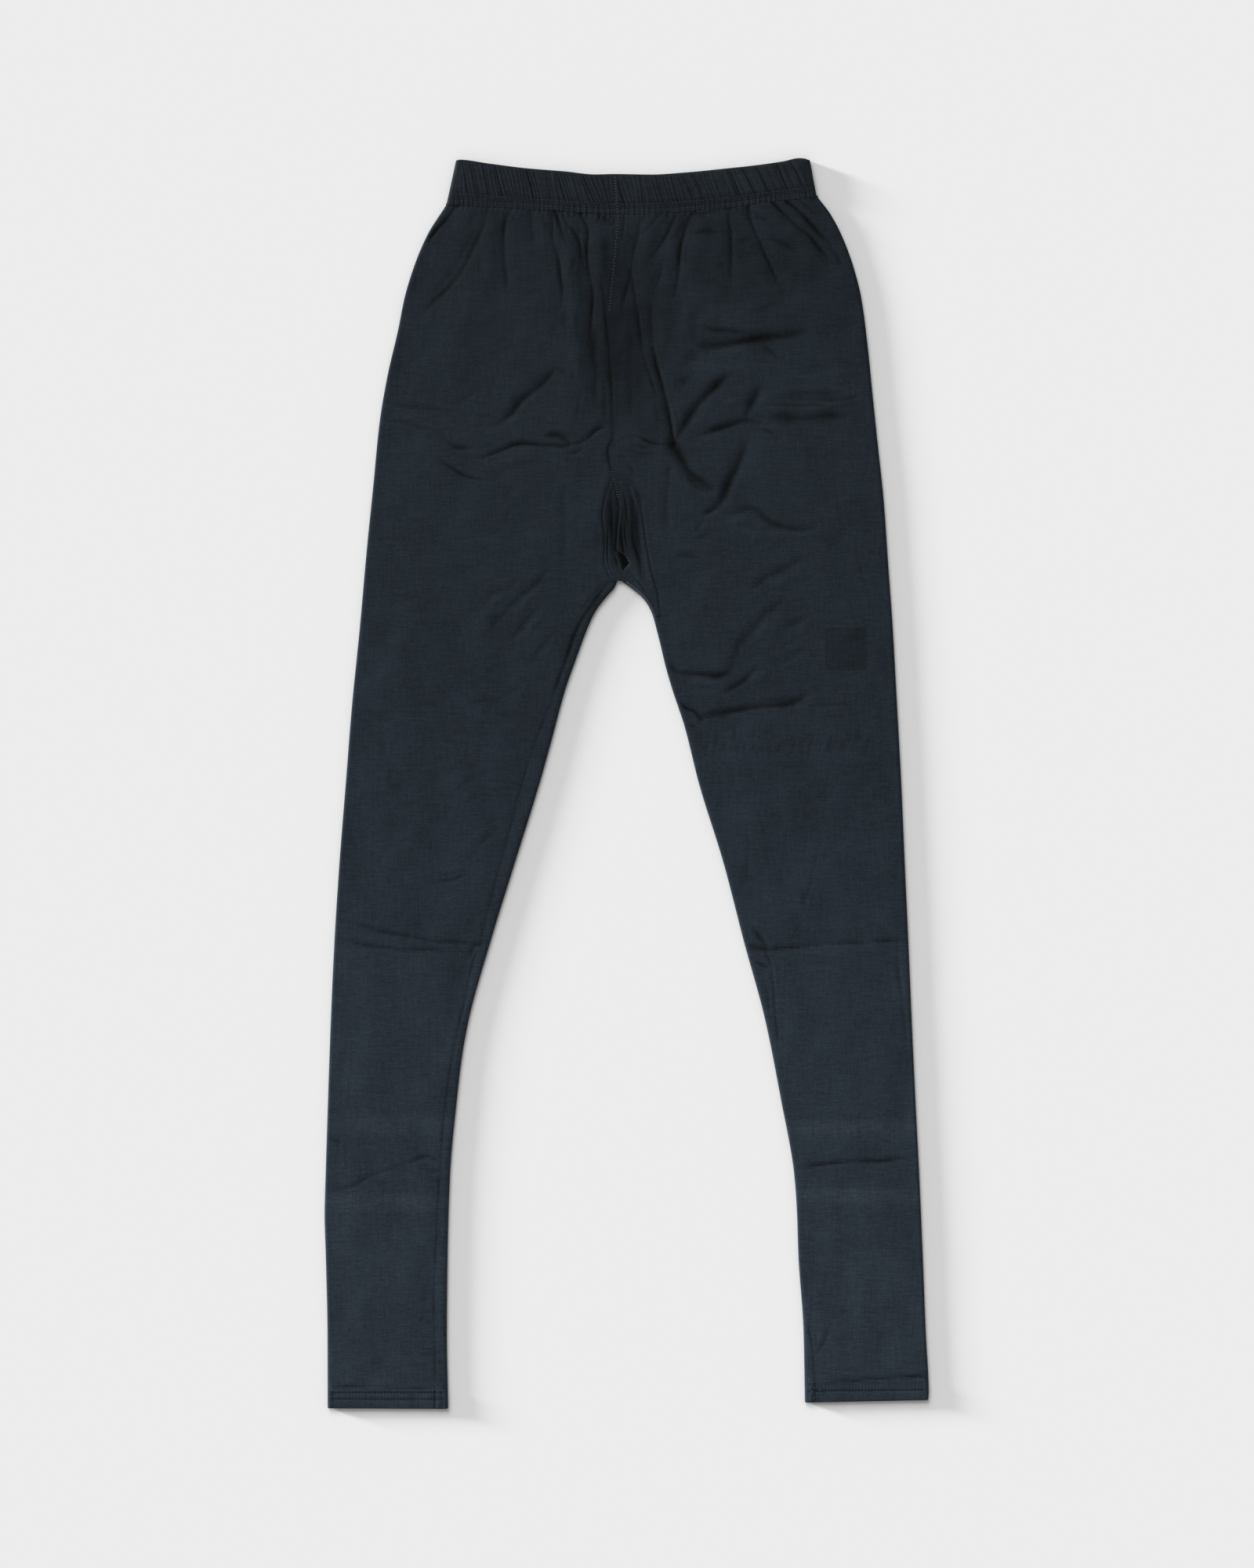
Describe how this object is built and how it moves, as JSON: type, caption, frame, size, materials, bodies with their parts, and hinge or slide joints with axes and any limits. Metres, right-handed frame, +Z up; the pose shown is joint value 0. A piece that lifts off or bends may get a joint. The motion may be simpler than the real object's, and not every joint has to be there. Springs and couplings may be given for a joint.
{
  "type": "leggings laid flat",
  "caption": "Plain dark jersey leggings laid flat, with a ribbed elastic waistband, a crotch gusset, tapered legs and turned hems.",
  "frame": {"origin": "centre of the box round the flat underside, on the surface that the garment lies on", "axes": "+Y along the legs towards the waist, +Z up from the surface through both layers, +X towards the right of the picture"},
  "size_m": [0.4827, 1, 0.0069],
  "materials": {
    "leg_left": "matte heathered jersey",
    "leg_right": "matte heathered jersey",
    "waistband_left": "matte gathered jersey",
    "waistband_right": "matte gathered jersey",
    "gusset": "matte jersey",
    "hem_left": "matte doubled jersey",
    "hem_right": "matte doubled jersey"
  },
  "bodies": {
    "root": {"leg_left": "leg_left", "leg_right": "leg_right", "waistband_left": "waistband_left", "waistband_right": "waistband_right", "gusset": "gusset", "hem_left": "hem_left", "hem_right": "hem_right"}
  },
  "joints": []
}
